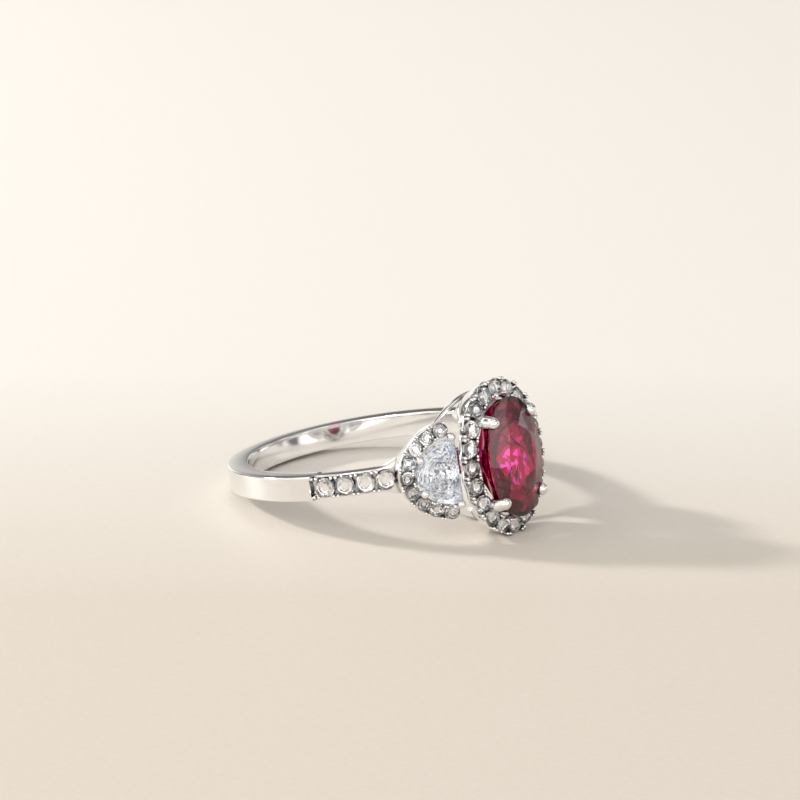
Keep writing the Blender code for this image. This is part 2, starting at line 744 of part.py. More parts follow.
def make_side_head(word, materials, head):
    gold, diamond = materials
    make_side_basket(word, gold, head)
    make_crescent(word, gold, head)
    add_object(f"{word}_half_moon", moon_shape(0.0), diamond, head)
    mesh = make_round_stone(f"{word}_halo_diamond", CRESCENT_STONE, diamond)
    for i, angle in enumerate(crescent_angles()):
        name = f"{word}_halo_diamond_{i + 1}"
        place_mesh(name, mesh, head, crescent_place(angle, 0.0, CRESCENT_TOP))


# ---------------------------------------------------------------- the ring


def lying_tilt():
    """The ring lies on the back of its band and on the edge of its halo, so its head is raised."""
    drop = HALO_HALF_LENGTH + HALO_RIM - BAND_WIDTH / 2
    reach = HALO_TOP - RIM_DROP + BORE_RADIUS + BAND_THICKNESS
    return math.atan2(drop, reach)


def lay_down(ring):
    """Tilts the ring as it lies, then brings its middle over the origin and its lowest point to Z = 0."""
    ring.rotation_euler = (0.0, -lying_tilt(), 0.0)
    bpy.context.view_layer.update()
    graph = bpy.context.evaluated_depsgraph_get()
    points = []
    for obj in bpy.context.scene.objects:
        if obj.type == "MESH" and not obj.hide_render:
            solid = obj.evaluated_get(graph)
            points += [solid.matrix_world @ vertex.co for vertex in solid.data.vertices]
    low = [min(point[i] for point in points) for i in range(3)]
    high = [max(point[i] for point in points) for i in range(3)]
    ring.location = (-(low[0] + high[0]) / 2, -(low[1] + high[1]) / 2, -low[2])


def build_ring():
    clear_scene()
    gold = make_material("white_gold", (0.83, 0.81, 0.78), 1.0, 0.12, 0.0, 1.45)
    ruby = make_material("ruby", (0.42, 0.01, 0.07), 0.0, 0.02, 0.6, 1.77)
    diamond = make_material("diamond", (0.95, 0.96, 0.98), 0.0, 0.01, 0.8, 2.42)
    ring = add_frame("ring", None)
    make_shank(gold, ring)
    make_shoulder_stones(diamond, ring)
    centre = add_frame("centre_head", ring, outward_frame(0.0))
    make_basket(gold, centre)
    make_halo(gold, centre)
    make_halo_stones(diamond, centre)
    make_claws(gold, centre)
    add_object("ruby", ruby_shape(0.0), ruby, centre)
    right = add_frame("right_head", ring, outward_frame(-SIDE_HEAD_ANGLE))
    left = add_frame("left_head", ring, outward_frame(SIDE_HEAD_ANGLE, turned=True))
    make_side_head("right", (gold, diamond), right)
    make_side_head("left", (gold, diamond), left)
    lay_down(ring)


build_ring()
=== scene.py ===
"""A white-gold ring with an oval ruby, two half-moon diamonds and small diamonds round them, lying on
its side on a pale table. Everything is made in the ring's own frame, in millimetres, then laid down."""

import json
import math

import bpy
import numpy as np
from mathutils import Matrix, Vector


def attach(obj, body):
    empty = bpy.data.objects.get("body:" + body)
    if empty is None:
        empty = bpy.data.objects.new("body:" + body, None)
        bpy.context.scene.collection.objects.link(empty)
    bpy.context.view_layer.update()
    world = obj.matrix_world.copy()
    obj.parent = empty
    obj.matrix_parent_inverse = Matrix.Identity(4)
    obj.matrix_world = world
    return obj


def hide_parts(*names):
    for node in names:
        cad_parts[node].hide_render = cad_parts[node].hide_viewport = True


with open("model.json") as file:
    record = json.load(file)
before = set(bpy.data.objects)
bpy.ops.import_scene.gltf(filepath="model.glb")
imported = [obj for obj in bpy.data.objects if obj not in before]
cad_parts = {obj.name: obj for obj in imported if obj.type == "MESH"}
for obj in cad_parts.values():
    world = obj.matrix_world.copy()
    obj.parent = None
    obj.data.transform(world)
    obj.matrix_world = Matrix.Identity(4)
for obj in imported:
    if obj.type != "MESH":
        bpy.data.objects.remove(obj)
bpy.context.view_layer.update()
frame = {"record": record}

# ------------------------------------------------------------------------------------------------
# How the ring lies: on the back of its band and the edge of its halo. The flat upper flank of the
# band gives the finger's axis and, from the flank's marked point, the middle of the bore.

MM = 0.001
FLANK = frame["record"]["mounts"][0]
BAND_HALF_WIDTH = 0.8
FLANK_POINT_RADIUS = 8.9

finger = np.array(FLANK["axis"]) / np.linalg.norm(FLANK["axis"])
sideways = np.array([0.0, 1.0, 0.0])
ahead = np.cross(sideways, finger)
middle = np.array(FLANK["pos_m"]) + MM * (FLANK_POINT_RADIUS * ahead - BAND_HALF_WIDTH * finger)


def lay(points):
    """Ring millimetres (ahead, sideways, along the finger) as metres where the ring lies."""
    return middle + MM * (points @ np.array([ahead, sideways, finger]))


# ------------------------------------------------------------------------------------------------
# The band: a flat 18 carat hoop, cast with the shoulders and polished to a mirror, its edges just
# broken. It steps down where the shoulder stones are set and thins to a bridge under the heads.

BORE = 8.25
BAND_OUTSIDE = 9.67
BRIDGE_OUTSIDE = 9.15
PAVE_FLOOR = 9.22
STONE_LEVEL = 9.49
EDGE = 0.12
INNER_EDGE = 0.08
BORE_CROWN = 0.03
SHOULDER_STONE = 1.29
PAVE_HALF_WIDTH = 0.77
SHOULDER_PITCH = math.radians(7.95)
SHOULDER_STONES = np.radians(43.6) + SHOULDER_PITCH * np.arange(4)
BRIDGE_END = math.radians(36.0)
BRIDGE_WIDENS = 0.62
FLARE_END = math.radians(47.5)
FLARE = 0.38
PAVE_NARROWS = (0.70, 0.75)
PAVE_START_CENTRE = SHOULDER_STONES[-1]
PAVE_START_REACH = 0.93


def smooth_step(value, low, high):
    """0 below low, 1 above high and an S between them."""
    part = np.clip((value - low) / (high - low), 0.0, 1.0)
    return part * part * (3.0 - 2.0 * part)


def grid_faces(rows, columns, close_rows, close_columns):
    """Quads of a grid of points numbered row by row, joined round where it closes."""
    i = np.arange(rows if close_rows else rows - 1)[:, None]
    j = np.arange(columns if close_columns else columns - 1)[None, :]
    down = (i + 1) % rows
    right = (j + 1) % columns
    corners = (i * columns + j, i * columns + right, down * columns + right, down * columns + j)
    return np.stack(np.broadcast_arrays(*corners), axis=-1).reshape(-1, 4)


def facing_out(points, faces):
    """The faces, turned round if the volume inside them comes out negative."""
    total = 0.0
    for face in faces:
        corners = points[face]
        total += (np.cross(corners[1:-1], corners[2:]) @ corners[0]).sum()
    return faces if total > 0 else [face[::-1] for face in faces]


class Shape:
    """Closed bodies gathered into one mesh, in ring millimetres."""

    def __init__(self):
        self.points = np.zeros((0, 3))
        self.faces = []
        self.kinds = []

    def add(self, points, faces, kinds=None):
        """One body: its faces are lists of point numbers, and kinds the faces' materials' numbers."""
        faces = facing_out(points, [list(face) for face in faces])
        start = len(self.points)
        self.points = np.concatenate([self.points, points])
        self.faces += [[start + corner for corner in face] for face in faces]
        self.kinds += kinds or [0] * len(faces)

    def sweep(self, loops, closed):
        """Loops of points, an array (loops, points, 3), joined in turn; open ends get flat caps."""
        rows, columns = loops.shape[:2]
        faces = grid_faces(rows, columns, closed, True).tolist()
        if not closed:
            faces += [list(range(columns)), [(rows - 1) * columns + k for k in range(columns)][::-1]]
        self.add(loops.reshape(-1, 3), faces)

    def copies(self, body, places):
        """A small body (points, faces, kinds) at each place, a (3 x 3 turn, shift) pair."""
        points, faces, kinds = body
        for turn, shift in places:
            self.add(points @ turn + shift, faces, kinds)

    def piece(self, name, materials, slot, sharp_degrees, stands_for=()):
        """Lays the shape down as a finished object on the ring's one body."""
        mesh = bpy.data.meshes.new(name)
        mesh.from_pydata(lay(self.points).tolist(), [], self.faces)
        mesh.shade_smooth()
        mesh.set_sharp_from_angle(angle=math.radians(sharp_degrees))
        for material in materials:
            mesh.materials.append(material)
        mesh.polygons.foreach_set("material_index", self.kinds)
        piece = bpy.data.objects.new(name, mesh)
        bpy.context.scene.collection.objects.link(piece)
        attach(piece, "root")
        if stands_for:
            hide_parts(*stands_for)
        return piece


class Signal:
    """A shader socket that can be written into sums, which add Math nodes."""

    def __init__(self, tree, socket):
        self.tree = tree
        self.socket = socket

    def maths(self, operation, first, second):
        node = self.tree.nodes.new("ShaderNodeMath")
        node.operation = operation
        for slot, value in zip(node.inputs, (first, second)):
            if isinstance(value, Signal):
                self.tree.links.new(value.socket, slot)
            else:
                slot.default_value = value
        return Signal(self.tree, node.outputs[0])

    def __add__(self, other):
        return self.maths("ADD", self, other)

    __radd__ = __add__

    def __mul__(self, other):
        return self.maths("MULTIPLY", self, other)

    __rmul__ = __mul__

    def __sub__(self, other):
        return self.maths("SUBTRACT", self, other)

    def __rsub__(self, other):
        return self.maths("SUBTRACT", other, self)


class Nodes:
    """The nodes of a material or of the world."""

    def __init__(self, tree):
        self.tree = tree

    def fill(self, node, inputs):
        for key, value in inputs.items():
            if isinstance(value, Signal):
                self.tree.links.new(value.socket, node.inputs[key])
            else:
                node.inputs[key].default_value = value

    def node(self, kind, output=0, settings=None, inputs=None):
        """A node of this kind: its settings first, a ramp's stops among them, then its sockets."""
        node = self.tree.nodes.new(kind)
        for key, value in (settings or {}).items():
            if key == "stops":
                self.set_stops(node.color_ramp, value)
            else:
                setattr(node, key, value)
        self.fill(node, inputs or {})
        return Signal(self.tree, node.outputs[output])

    def set_stops(self, colours, stops):
        """A ramp's kind of blend, and its colours at these places."""
        colours.interpolation, *places = stops
        for i, (position, colour) in enumerate(places):
            stop = colours.elements[i] if i < 2 else colours.elements.new(position)
            stop.position = position
            stop.color = colour

    def place(self):
        """Object coordinates in millimetres."""
        coordinates = self.node("ShaderNodeTexCoord", output="Object")
        inputs = {0: coordinates, 3: 1.0 / MM}
        return self.node("ShaderNodeVectorMath", settings={"operation": "SCALE"}, inputs=inputs)

    def noise(self, vector, scale, detail=2.0):
        inputs = {"Vector": vector, "Scale": scale, "Detail": detail}
        return self.node("ShaderNodeTexNoise", inputs=inputs)

    def mix(self, factor, first, second):
        """One colour into another by a factor."""
        inputs = {0: factor, 6: first, 7: second}
        return self.node("ShaderNodeMix", output=2, settings={"data_type": "RGBA"}, inputs=inputs)

    def ramp(self, factor, stops, between="LINEAR"):
        """Colours at these places along a factor."""
        settings = {"stops": [between, *stops]}
        return self.node("ShaderNodeValToRGB", output="Color", settings=settings, inputs={"Fac": factor})

    def bump(self, height, distance, strength):
        inputs = {"Height": height, "Distance": distance, "Strength": strength}
        return self.node("ShaderNodeBump", inputs=inputs)


class Finish(Nodes):
    """A material built on one Principled shader."""

    def __init__(self, name):
        self.material = bpy.data.materials.new(name)
        self.material.use_nodes = True
        super().__init__(self.material.node_tree)
        self.shader = self.tree.nodes["Principled BSDF"]

    def set(self, **inputs):
        """Sockets of the Principled shader, with _ for each space in a name."""
        self.fill(self.shader, {key.replace("_", " "): value for key, value in inputs.items()})
        return self.material


def polished_gold():
    """Rhodium-bright white gold: near-mirror, with faint polishing haze, hairline wear and painted shade
    that darkens its crevices.
    """
    finish = Finish("white_gold_polished")
    place = finish.place()
    haze = finish.noise(place, 0.9, 3.0)
    stretched = finish.node("ShaderNodeMapping", inputs={"Vector": place, "Scale": (1.0, 1.0, 14.0)})
    hairs = finish.noise(stretched, 3.0, 4.0)
    # Painted shade: the base colour goes nearly black where ambient occlusion finds a crevice or recess
    # close by.
    painted_shade_ao = finish.node(
        "ShaderNodeAmbientOcclusion", output="AO", settings={"samples": 6}, inputs={"Distance": 0.3 * MM}
    )
    bright = finish.mix(haze, (0.84, 0.84, 0.845, 1.0), (0.92, 0.92, 0.92, 1.0))
    tone = finish.mix(1.6 * painted_shade_ao - 0.45, (0.07, 0.065, 0.06, 1.0), bright)
    return finish.set(
        Base_Color=tone,
        Metallic=1.0,
        Roughness=0.05 + 0.05 * haze + 0.05 * hairs,
        Normal=finish.bump(hairs, 2e-6, 0.12),
    )


GOLD = polished_gold()


def band_loops():
    """At each angle round the finger, a rounded oblong from the bore to the outside. Its outer face drops
    from the full thickness to the setting floor along an arc round the first stone, and to the bridge."""
    angle = np.linspace(-math.pi, math.pi, 900, endpoint=False)[:, None]
    turned = np.abs(angle)
    near_heads = smooth_step(FLARE_END - turned, 0.0, FLARE_END - BRIDGE_END)
    flare = near_heads * smooth_step(turned, BRIDGE_WIDENS, BRIDGE_END)
    half = BAND_HALF_WIDTH + FLARE * flare**1.6
    set_zone = smooth_step(PAVE_START_CENTRE + 0.5 * SHOULDER_PITCH - turned, -0.01, 0.01)
    beside_pave = set_zone * (1.0 - flare) * smooth_step(turned, *PAVE_NARROWS)
    half = half - (BAND_HALF_WIDTH - PAVE_HALF_WIDTH) * beside_pave
    quarter = np.linspace(0.0, math.pi / 2, 7)
    corner = EDGE * (1.0 - np.sin(quarter))
    corner_in = EDGE * (1.0 - np.cos(quarter))
    across = np.linspace(-1.0, 1.0, 11)[1:-1]
    inner_edge = INNER_EDGE * (1.0 - np.sin(quarter))
    inner_in = INNER_EDGE * (1.0 - np.cos(quarter))
    outer_end = 1.0 - corner_in / BAND_HALF_WIDTH
    inner_end = 1.0 - inner_in / BAND_HALF_WIDTH
    z_outer = np.concatenate([-outer_end, across * (1.0 - EDGE / BAND_HALF_WIDTH), outer_end[::-1]])
    drop = np.concatenate([corner, np.zeros(9), corner[::-1]])
    inner_across = -across * (1.0 - INNER_EDGE / BAND_HALF_WIDTH)
    z_inner = np.concatenate([inner_end, inner_across, -inner_end[::-1]])
    rise = np.concatenate([inner_edge, np.zeros(9), inner_edge[::-1]])
    z = z_outer[None, :] * half
    from_stone = (turned - PAVE_START_CENTRE) * BAND_OUTSIDE
    arc = PAVE_START_REACH - 0.16 * (z / half) ** 2
    outside = PAVE_FLOOR + (BAND_OUTSIDE - PAVE_FLOOR) * smooth_step(from_stone, arc, arc + 0.06)
    outside = outside - (PAVE_FLOOR - BRIDGE_OUTSIDE) * smooth_step(BRIDGE_END - turned, -0.04, 0.02)
    outside = outside - drop[None, :]
    z_in = z_inner[None, :] * half
    inside = BORE + rise[None, :] + BORE_CROWN * (z_in / half) ** 2
    radius = np.concatenate([outside, inside], axis=1)
    height = np.concatenate([z, z_in], axis=1)
    return np.stack([radius * np.cos(angle), radius * np.sin(angle), height], axis=-1)


band = Shape()
band.sweep(band_loops(), closed=True)
band.piece("band", [GOLD], "white_gold", 40.0, stands_for=["shank"])

# ------------------------------------------------------------------------------------------------
# The small round diamonds and what holds them: each lies in a cup of gold cut away under its edge, and
# pairs of beads raised from the gold between neighbours are pushed over them. These are the shoulders'.

SIDE_HEAD = math.radians(33.7)


def looking_out(angle, turned=False):
    """Rows: across, along the finger and outward, for something set on the ring at this angle."""
    out = np.array([math.cos(angle), math.sin(angle), 0.0])
    across = np.array([-math.sin(angle), math.cos(angle), 0.0])
    along = np.array([0.0, 0.0, 1.0])
    sign = -1.0 if turned else 1.0
    return np.array([sign * across, sign * along, out])


CENTRE_HEAD = looking_out(0.0)
RIGHT_HEAD = looking_out(-SIDE_HEAD)
LEFT_HEAD = looking_out(SIDE_HEAD, turned=True)


def upper_edge(outline, fine, stars, girdle):
    """Heights along a stone's edge where its upper half facets meet it: each is the plane through the star
    point between two mains and the two ends of its stretch of edge, which are at the girdle's height."""
    heights = np.full(len(outline), girdle)
    for first in range(0, len(outline), fine):
        last = (first + fine) % len(outline)
        star = stars[first // (2 * fine)]
        ends = [np.array([*outline[k], girdle]) for k in (first, last)]
        normal = np.cross(ends[0] - star, ends[1] - star)
        inside = np.arange(first + 1, first + fine)
        away = (outline[inside] - outline[first]) @ normal[:2]
        heights[inside] = girdle - away / normal[2]
    return heights


def brilliant(outline, fine, table, crown, girdle, rows, tip_depth, hand_cut=0.0):
    """A brilliant cut on a closed edge of 2 * n * fine points, as (points, faces), its girdle at height 0.
    n main facets run from the table's corners to the girdle. The half facets are planes from a point
    between two mains, so the girdle's upper edge waves. Below, each row (scale, depth) is a ring of n
    points, turned by half a facet from the one above and joined to it by triangles, and a point closes
    the last."""
    edge = np.arange(len(outline))
    mains = outline[:: 2 * fine]
    halves = outline[fine :: 2 * fine]
    n = len(mains)
    star = table + 0.5 * (1.0 - table)
    star_height = girdle + (crown - girdle) * (1.0 - star) / (1.0 - table) * 0.93
    rings = [
        np.column_stack([mains * table, np.full(n, crown)]),
        np.column_stack([halves * star, np.full(n, star_height)]),
    ]
    for i, (scale, depth) in enumerate(rows):
        around = mains if i % 2 else halves
        uneven = 1.0 + hand_cut * np.sin(np.arange(n) * 2.4 + 1.7 * i)
        rings.append(np.column_stack([around * scale, -depth * uneven]))
    upper = np.column_stack([outline, upper_edge(outline, fine, rings[1], girdle)])
    lower = np.column_stack([outline, np.full(len(outline), -girdle)])
    start = np.cumsum([0] + [len(ring) for ring in rings + [upper, lower]])
    up, down, tip = start[-3], start[-2], start[-1]
    points = np.concatenate([*rings, upper, lower, [[0.0, 0.0, -tip_depth]]])
    faces = [list(range(n))]
    faces += [[up + k, down + k, down + (k + 1) % len(edge), up + (k + 1) % len(edge)] for k in edge]
    for k in range(n):
        after = (k + 1) % n
        before = (k - 1) % n
        main = 2 * k * fine
        first_half = np.arange(main, main + fine + 1) % len(edge)
        second_half = np.arange(main + fine, main + 2 * fine + 1) % len(edge)
        faces.append([k, n + k, after])
        faces.append([k, n + before, up + main, n + k])
        faces.append([n + k, *(up + first_half)])
        faces.append([n + k, *(up + second_half)])
        faces.append([2 * n + k, *(down + first_half)])
        faces.append([2 * n + k, *(down + second_half)])
        faces.append([2 * n + k, 2 * n + before, down + main])
        for i in range(1, len(rows)):
            above = (1 + i) * n
            below = above + n
            beside = after if i % 2 else before
            under = after if i % 2 else k
            faces.append([above + k, above + beside, below + under])
            faces.append([below + k, below + after, above + k])
        faces.append([(len(rows) + 1) * n + k, (len(rows) + 1) * n + after, tip])
    return points, faces


def consistent(body):
    """A stone as (points, faces, kinds), each face wound to look away from its middle. Kind 0 is the
    crown and the edge, kind 1 the pavilion."""
    points, faces = body
    inside = points.mean(axis=0)
    wound = []
    for face in faces:
        corners = points[face]
        normal = np.cross(corners, np.roll(corners, -1, axis=0)).sum(axis=0)
        wound.append(face if normal @ (corners.mean(axis=0) - inside) > 0 else face[::-1])
    kinds = [int(points[face][:, 2].max() < 0.0) for face in wound]
    return points, wound, kinds


def circle(count):
    """Points on a circle of radius 1."""
    turn = math.tau * np.arange(count) / count
    return np.column_stack([np.cos(turn), np.sin(turn)])


def round_diamond(diameter):
    """A 57-facet round brilliant."""
    radius = diameter / 2
    rows = [(0.24, 0.68)]
    cut = brilliant(circle(16), 1, table=0.56, crown=0.36, girdle=0.03, rows=rows, tip_depth=0.87)
    points, faces, kinds = consistent(cut)
    return points * radius, faces, kinds


def lathe(profile, sides):
    """A closed body turned from a profile of (radius, height) pairs that starts and ends near the axis."""
    profile = np.array(profile)
    turn = math.tau * np.arange(sides) / sides
    x = profile[:, 0, None] * np.cos(turn)
    y = profile[:, 0, None] * np.sin(turn)
    z = np.broadcast_to(profile[:, 1, None], x.shape)
    points = np.stack([x, y, z], axis=-1).reshape(-1, 3)
    rows = len(profile)
    faces = grid_faces(rows, sides, False, True).tolist()
    faces += [list(range(sides)), [(rows - 1) * sides + k for k in range(sides)][::-1]]
    return points, faces, [0] * len(faces)


def cup(stone, deep):
    """A gold cup cut away outside, so that the stone overhangs it all round, with a cone inside."""
    outside = 0.87 * stone / 2
    lip = 0.12 * stone
    return lathe(
        [
            (0.08, -deep),
            (outside - 0.03, -deep),
            (outside, -deep + 0.1),
            (outside, -lip - 0.03),
            (outside - 0.04, -lip),
            (0.12, -deep + 0.06),
            (0.08, -deep + 0.04),
        ],
        28,
    )


def bead(radius, height):
    """A round-headed bead on a short stalk."""
    turn = np.linspace(0.0, math.pi / 2, 6)
    dome = [(radius * math.cos(t) + 0.002, height - radius + radius * math.sin(t)) for t in turn]
    stalk = [(0.002, -0.3), (radius * 0.8, -0.3), (radius * 0.85, height - radius - 0.05)]
    return lathe(stalk + dome, 12)


def stand(head, spot, lean_towards, lean):
    """A (turn, shift) on a head: at a spot (across, along, up), leaning by an angle towards a direction."""
    out = np.array([*lean_towards, 0.0])
    up = np.array([0.0, 0.0, 1.0])
    tipped = math.cos(lean) * up + math.sin(lean) * out
    flat = math.cos(lean) * out - math.sin(lean) * up
    side = np.cross(tipped, flat)
    return np.array([flat, side, tipped]) @ head, np.array(spot) @ head


def cut_stone(name, crown_tints, refraction, painted_flashes, sparkle, haze, painted_glow):
    """A cut stone's two finishes. Its crown is clear. Its pavilion sends back all the light that comes
    in, as facets at the right angle do, but its colour is painted in patches of dark, grey, white and
    tinted cells, painted reflections and glints, sparkle of them to a millimetre, and it also emits that
    painted colour as painted light."""
    crown = Finish(name)
    drift = crown.noise(crown.place(), 0.8, 2.0)
    crown.set(
        Base_Color=crown.mix(drift, *crown_tints),
        Roughness=0.0,
        IOR=refraction,
        Transmission_Weight=1.0,
    )
    pavilion = Finish(name + "_pavilion")
    # Painted reflections: the pavilion's colour is a ramp of dark, grey, white and tinted cells, and the
    # same colour is emitted as painted light.
    cells = pavilion.node(
        "ShaderNodeTexVoronoi", output="Color", inputs={"Vector": pavilion.place(), "Scale": sparkle}
    )
    colour = pavilion.ramp(cells, painted_flashes, "CONSTANT")
    pavilion.set(
        Base_Color=colour,
        Emission_Color=colour,
        Emission_Strength=painted_glow,
        Metallic=1.0,
        Roughness=haze + 0.03 * pavilion.noise(pavilion.place(), 2.0),
    )
    return [crown.material, pavilion.material]


COLOURLESS = ((0.97, 0.98, 1.0, 1.0), (1.0, 1.0, 1.0, 1.0))
DIAMOND_REFRACTION = 2.1
SHOULDER_BEAD = (0.125, 0.24)
SHOULDER_BEAD_EDGE = 0.58
BEAD_ASIDE = np.array([-0.115, 0.115])

# Painted light: the diamonds' pavilion cells run from black through grey to white and a warm glint, painted
# reflections and fire, with a faint painted emission.
DIAMOND = cut_stone(
    "diamond",
    COLOURLESS,
    DIAMOND_REFRACTION,
    [
        (0.0, (0.02, 0.02, 0.025, 1.0)),
        (0.36, (0.30, 0.30, 0.32, 1.0)),
        (0.47, (0.74, 0.77, 0.84, 1.0)),
        (0.56, (1.0, 1.0, 1.0, 1.0)),
        (0.70, (1.0, 0.90, 0.80, 1.0)),
        (0.73, (1.0, 1.0, 1.0, 1.0)),
    ],
    sparkle=4.2,
    haze=0.08,
    painted_glow=0.06,
)

shoulder_stones = Shape()
shoulder_gold = Shape()
stone = round_diamond(SHOULDER_STONE)
for side in (-1, 1):
    seats = []
    beads = []
    for angle in SHOULDER_STONES:
        head = looking_out(side * angle)
        seats.append(stand(head, (0.0, 0.0, STONE_LEVEL), (1.0, 0.0), 0.0))
    for place in (np.arange(4)[:, None] + 0.5 + BEAD_ASIDE).ravel():
        head = looking_out(side * (SHOULDER_STONES[0] + place * SHOULDER_PITCH))
        for edge in (-1, 1):
            spot = (0.0, SHOULDER_BEAD_EDGE * edge, STONE_LEVEL - 0.06)
            beads.append(stand(head, spot, (0.0, edge), 0.15))
    shoulder_stones.copies(stone, seats)
    shoulder_gold.copies(cup(SHOULDER_STONE, 0.75), seats)
    shoulder_gold.copies(bead(*SHOULDER_BEAD), beads)
names = [f"{word}_shoulder_diamond_{i}" for word in ("right", "left") for i in range(1, 5)]
shoulder_stones.piece("shoulder_diamonds", DIAMOND, "diamond", 1.0, stands_for=names)
shoulder_gold.piece("shoulder_settings", [GOLD], "white_gold", 40.0)

# ------------------------------------------------------------------------------------------------
# The oval halo: a polished wall of gold that tapers in to a rail just clear of the finger, arched
# windows between the two, and twenty small diamonds on its sloping top.

HALO_WIDE = 3.25
HALO_LONG = 4.49
HALO_TOP = 11.38
HALO_LEAN = math.radians(16.0)
HALO_STONE = 1.15
HALO_SIDE_PITCH = 1.25
HALO_END_PITCH = 1.17
HALO_BEAD = (0.125, 0.22)
RIM = 0.56
RIM_DROP = 0.5
SCOOP = 0.15
SCOOP_DEEP = 0.4
WALL_LIP = 0.14
WALL_DEEP = 1.96
WALL_TAPER = 0.5
WALL_THICK = 0.3
WINDOW_RISE = 0.72
WINDOW_CENTRE = math.radians(25.0)
WINDOW_HALF = math.radians(17.0)


def oval(wide, long, angle):
    """Points on an oval and the directions square to it, both as (across, along)."""
    spot = np.stack([wide * np.cos(angle), long * np.sin(angle)], axis=-1)
    out = np.stack([np.cos(angle) / wide, np.sin(angle) / long], axis=-1)
    return spot, out / np.linalg.norm(out, axis=-1, keepdims=True)


def oval_angle(wide, long, arc):
    """The oval's angle at a length along it, from its right-hand end."""
    angle = np.linspace(-math.tau, math.tau, 8001)
    spot, _ = oval(wide, long, angle)
    length = np.concatenate([[0.0], np.cumsum(np.linalg.norm(np.diff(spot, axis=0), axis=1))])
    length -= np.interp(0.0, angle, length)
    return np.interp(arc, length, angle)


def carried(head, wide, long, angle, section, flip=False, shift=0.0):
    """A section of (out, up) pairs, one row for each angle, carried round an oval on a head."""
    spot, out = oval(wide, long, angle)
    if flip:
        spot = spot * np.array([-1.0, 1.0]) + np.array([shift, 0.0])
        out = out * np.array([-1.0, 1.0])
    flat = spot[:, None, :] + section[..., :1] * out[:, None, :]
    return np.concatenate([flat, section[..., 1:]], axis=-1) @ head


def quarter_of_oval(wide, long):
    """The length of a quarter of the oval, as the sum of short chords."""
    spot, _ = oval(wide, long, np.linspace(0.0, math.pi / 2, 2001))
    return np.linalg.norm(np.diff(spot, axis=0), axis=1).sum()


quarter_length = quarter_of_oval(HALO_WIDE, HALO_LONG)
quarters = np.arange(4)[:, None]
pitches = np.where(quarters % 2 == 0, HALO_SIDE_PITCH, HALO_END_PITCH)
halo_arcs = (quarters * quarter_length + (np.arange(5) - 2) * pitches).ravel()
halo_turns = oval_angle(HALO_WIDE, HALO_LONG, halo_arcs)
between_arcs = (halo_arcs + np.append(halo_arcs[1:], halo_arcs[0] + 4 * quarter_length)) / 2
between_turns = oval_angle(HALO_WIDE, HALO_LONG, between_arcs)

halo_stones = Shape()
halo_gold = Shape()
seats = []
for turn in halo_turns:
    spot, out = oval(HALO_WIDE, HALO_LONG, turn)
    seats.append(stand(CENTRE_HEAD, (*spot, HALO_TOP), out, HALO_LEAN))
beads = []
for i, turn in enumerate(between_turns):
    spot, out = oval(HALO_WIDE, HALO_LONG, turn)
    along = np.array([-out[1], out[0]])
    claw_here = i % 5 == 4
    for aside in (-0.12, 0.12):
        near = spot + 0.5 * out + aside * along
        beads.append(stand(CENTRE_HEAD, (*near, HALO_TOP - 0.14), out, HALO_LEAN))
        if not claw_here:
            near = spot - 0.42 * out + 0.9 * aside * along
            beads.append(stand(CENTRE_HEAD, (*near, HALO_TOP + 0.1), out, HALO_LEAN))
halo_stones.copies(round_diamond(HALO_STONE), seats)
halo_gold.copies(cup(HALO_STONE, 0.7), seats)
halo_gold.copies(bead(*HALO_BEAD), beads)
names = [f"halo_diamond_{i:02d}" for i in range(1, 21)]
halo_stones.piece("halo_diamonds", DIAMOND, "diamond", 1.0, stands_for=names)
halo_gold.piece("halo_settings", [GOLD], "white_gold", 40.0)


def wall_foot(angle):
    """How far below the rim the wall reaches: an arch over each window, and all the way down between."""
    full = WALL_LIP + WALL_DEEP * smooth_step(np.abs(np.sin(angle)), 0.55, 0.8)
    off_end = np.abs(np.abs(angle) - math.pi / 2)
    arch = np.clip(1.0 - ((off_end - WINDOW_CENTRE) / WINDOW_HALF) ** 2, 0.0, 1.0) ** 0.5
    return full - WINDOW_RISE * arch


def wall_section(angle):
    """The wall's profile at each angle: down its outside, which tapers in and is scooped out under each
    stone, up its inside, and across its top, which slopes out under the stones."""
    foot = wall_foot(angle)
    level = np.zeros_like(foot)
    rim_level = HALO_TOP - RIM_DROP
    around_halo = np.concatenate([halo_turns - math.tau, halo_turns])
    stone_number = np.interp(angle, around_halo, np.arange(len(around_halo)))
    scoop = SCOOP * (0.5 + 0.5 * np.cos(math.tau * stone_number))
    profile = []
    for depth in np.linspace(0.0, 1.0, 10):
        scooped = scoop * np.clip(1.0 - depth * foot / SCOOP_DEEP, 0.0, 1.0)
        profile.append((RIM - scooped - WALL_TAPER * depth * foot, rim_level - depth * foot))
    for depth in (1.0, 0.0):
        rise = depth * np.maximum(foot - WALL_THICK, 0.05)
        profile.append((RIM - WALL_THICK - WALL_TAPER * depth * foot, rim_level - WALL_THICK - rise))
    profile.append((level - 0.58, level + HALO_TOP - 0.6))
    profile.append((level - 0.58, level + HALO_TOP - 0.35))
    profile.append((level - 0.5, level + HALO_TOP - 0.2))
    profile.append((RIM - 0.12 - scoop, level + HALO_TOP - 0.4))
    profile.append((RIM - 0.03 - scoop, level + HALO_TOP - 0.44))
    return np.stack([np.stack(point, axis=-1) for point in profile], axis=1)


halo = Shape()
angle = np.linspace(-math.pi, math.pi, 361)[:-1]
halo.sweep(carried(CENTRE_HEAD, HALO_WIDE, HALO_LONG, angle, wall_section(angle)), closed=True)
halo.piece("oval_halo", [GOLD], "white_gold", 35.0, stands_for=["ruby_halo"])

# ------------------------------------------------------------------------------------------------
# The gallery: one rail on each side of the finger hole, from shoulder to shoulder, that rises under
# each head, and an oval basket under the ruby. It is cast with the band and polished.

